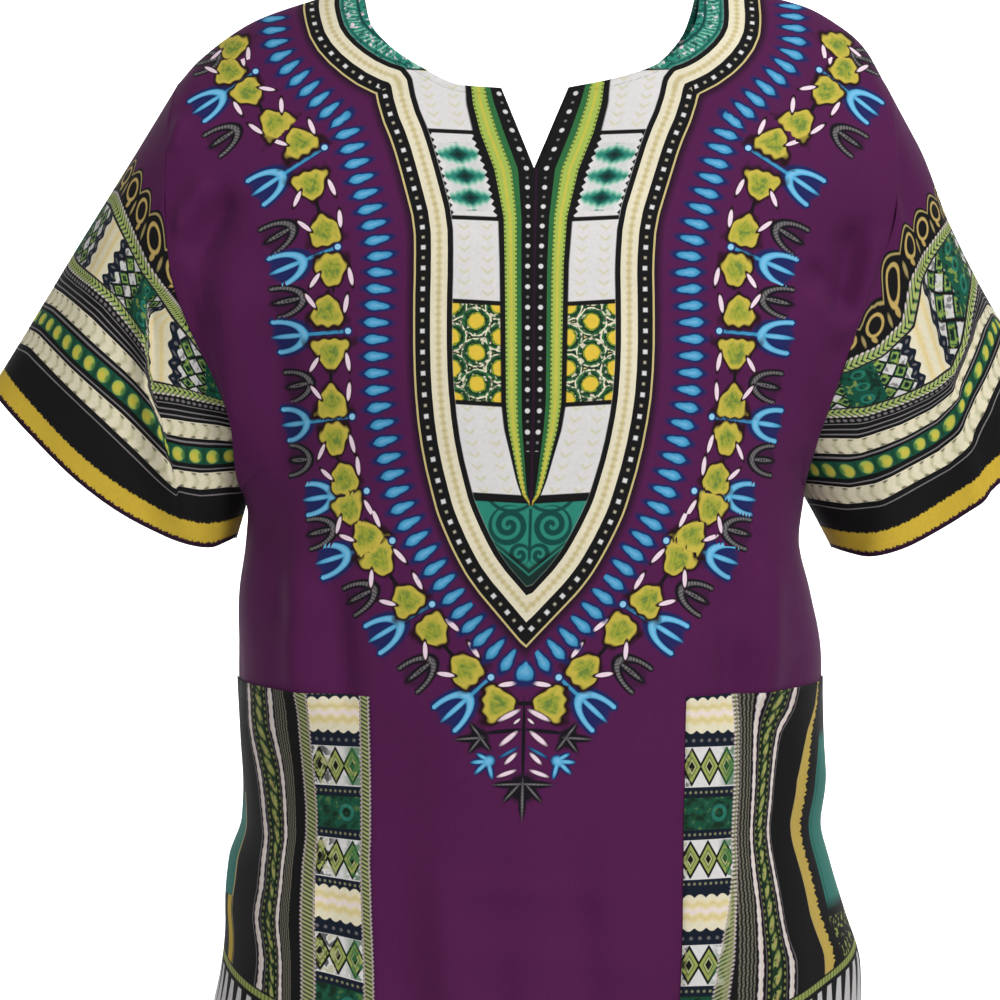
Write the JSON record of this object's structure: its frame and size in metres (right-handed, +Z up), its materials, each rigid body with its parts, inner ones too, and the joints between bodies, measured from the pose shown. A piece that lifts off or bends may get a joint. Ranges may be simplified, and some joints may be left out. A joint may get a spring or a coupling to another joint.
{
  "type": "dashiki shirt",
  "caption": "Loose pull-on cotton shirt, worn form, with a scooped slit neck, short wide sleeves and patch pockets, in an allover border and neck print.",
  "frame": {"origin": "on the shoulder line, in the middle of the neck opening, where the shirt rests on its wearer", "axes": "+Z up towards the neck, -Y out of the front, +X towards the wearer's left sleeve"},
  "size_m": [0.7265, 0.2916, 0.7787],
  "materials": {
    "front_cloth": "plain woven cotton, printed",
    "back_cloth": "plain woven cotton, printed",
    "sleeve_cloth": "plain woven cotton, border printed",
    "pocket_cloth": "plain woven cotton, border printed"
  },
  "bodies": {
    "root": {"front": "front_cloth", "back": "back_cloth", "sleeve_left": "sleeve_cloth", "sleeve_right": "sleeve_cloth", "pocket_left": "pocket_cloth", "pocket_right": "pocket_cloth"}
  },
  "joints": []
}
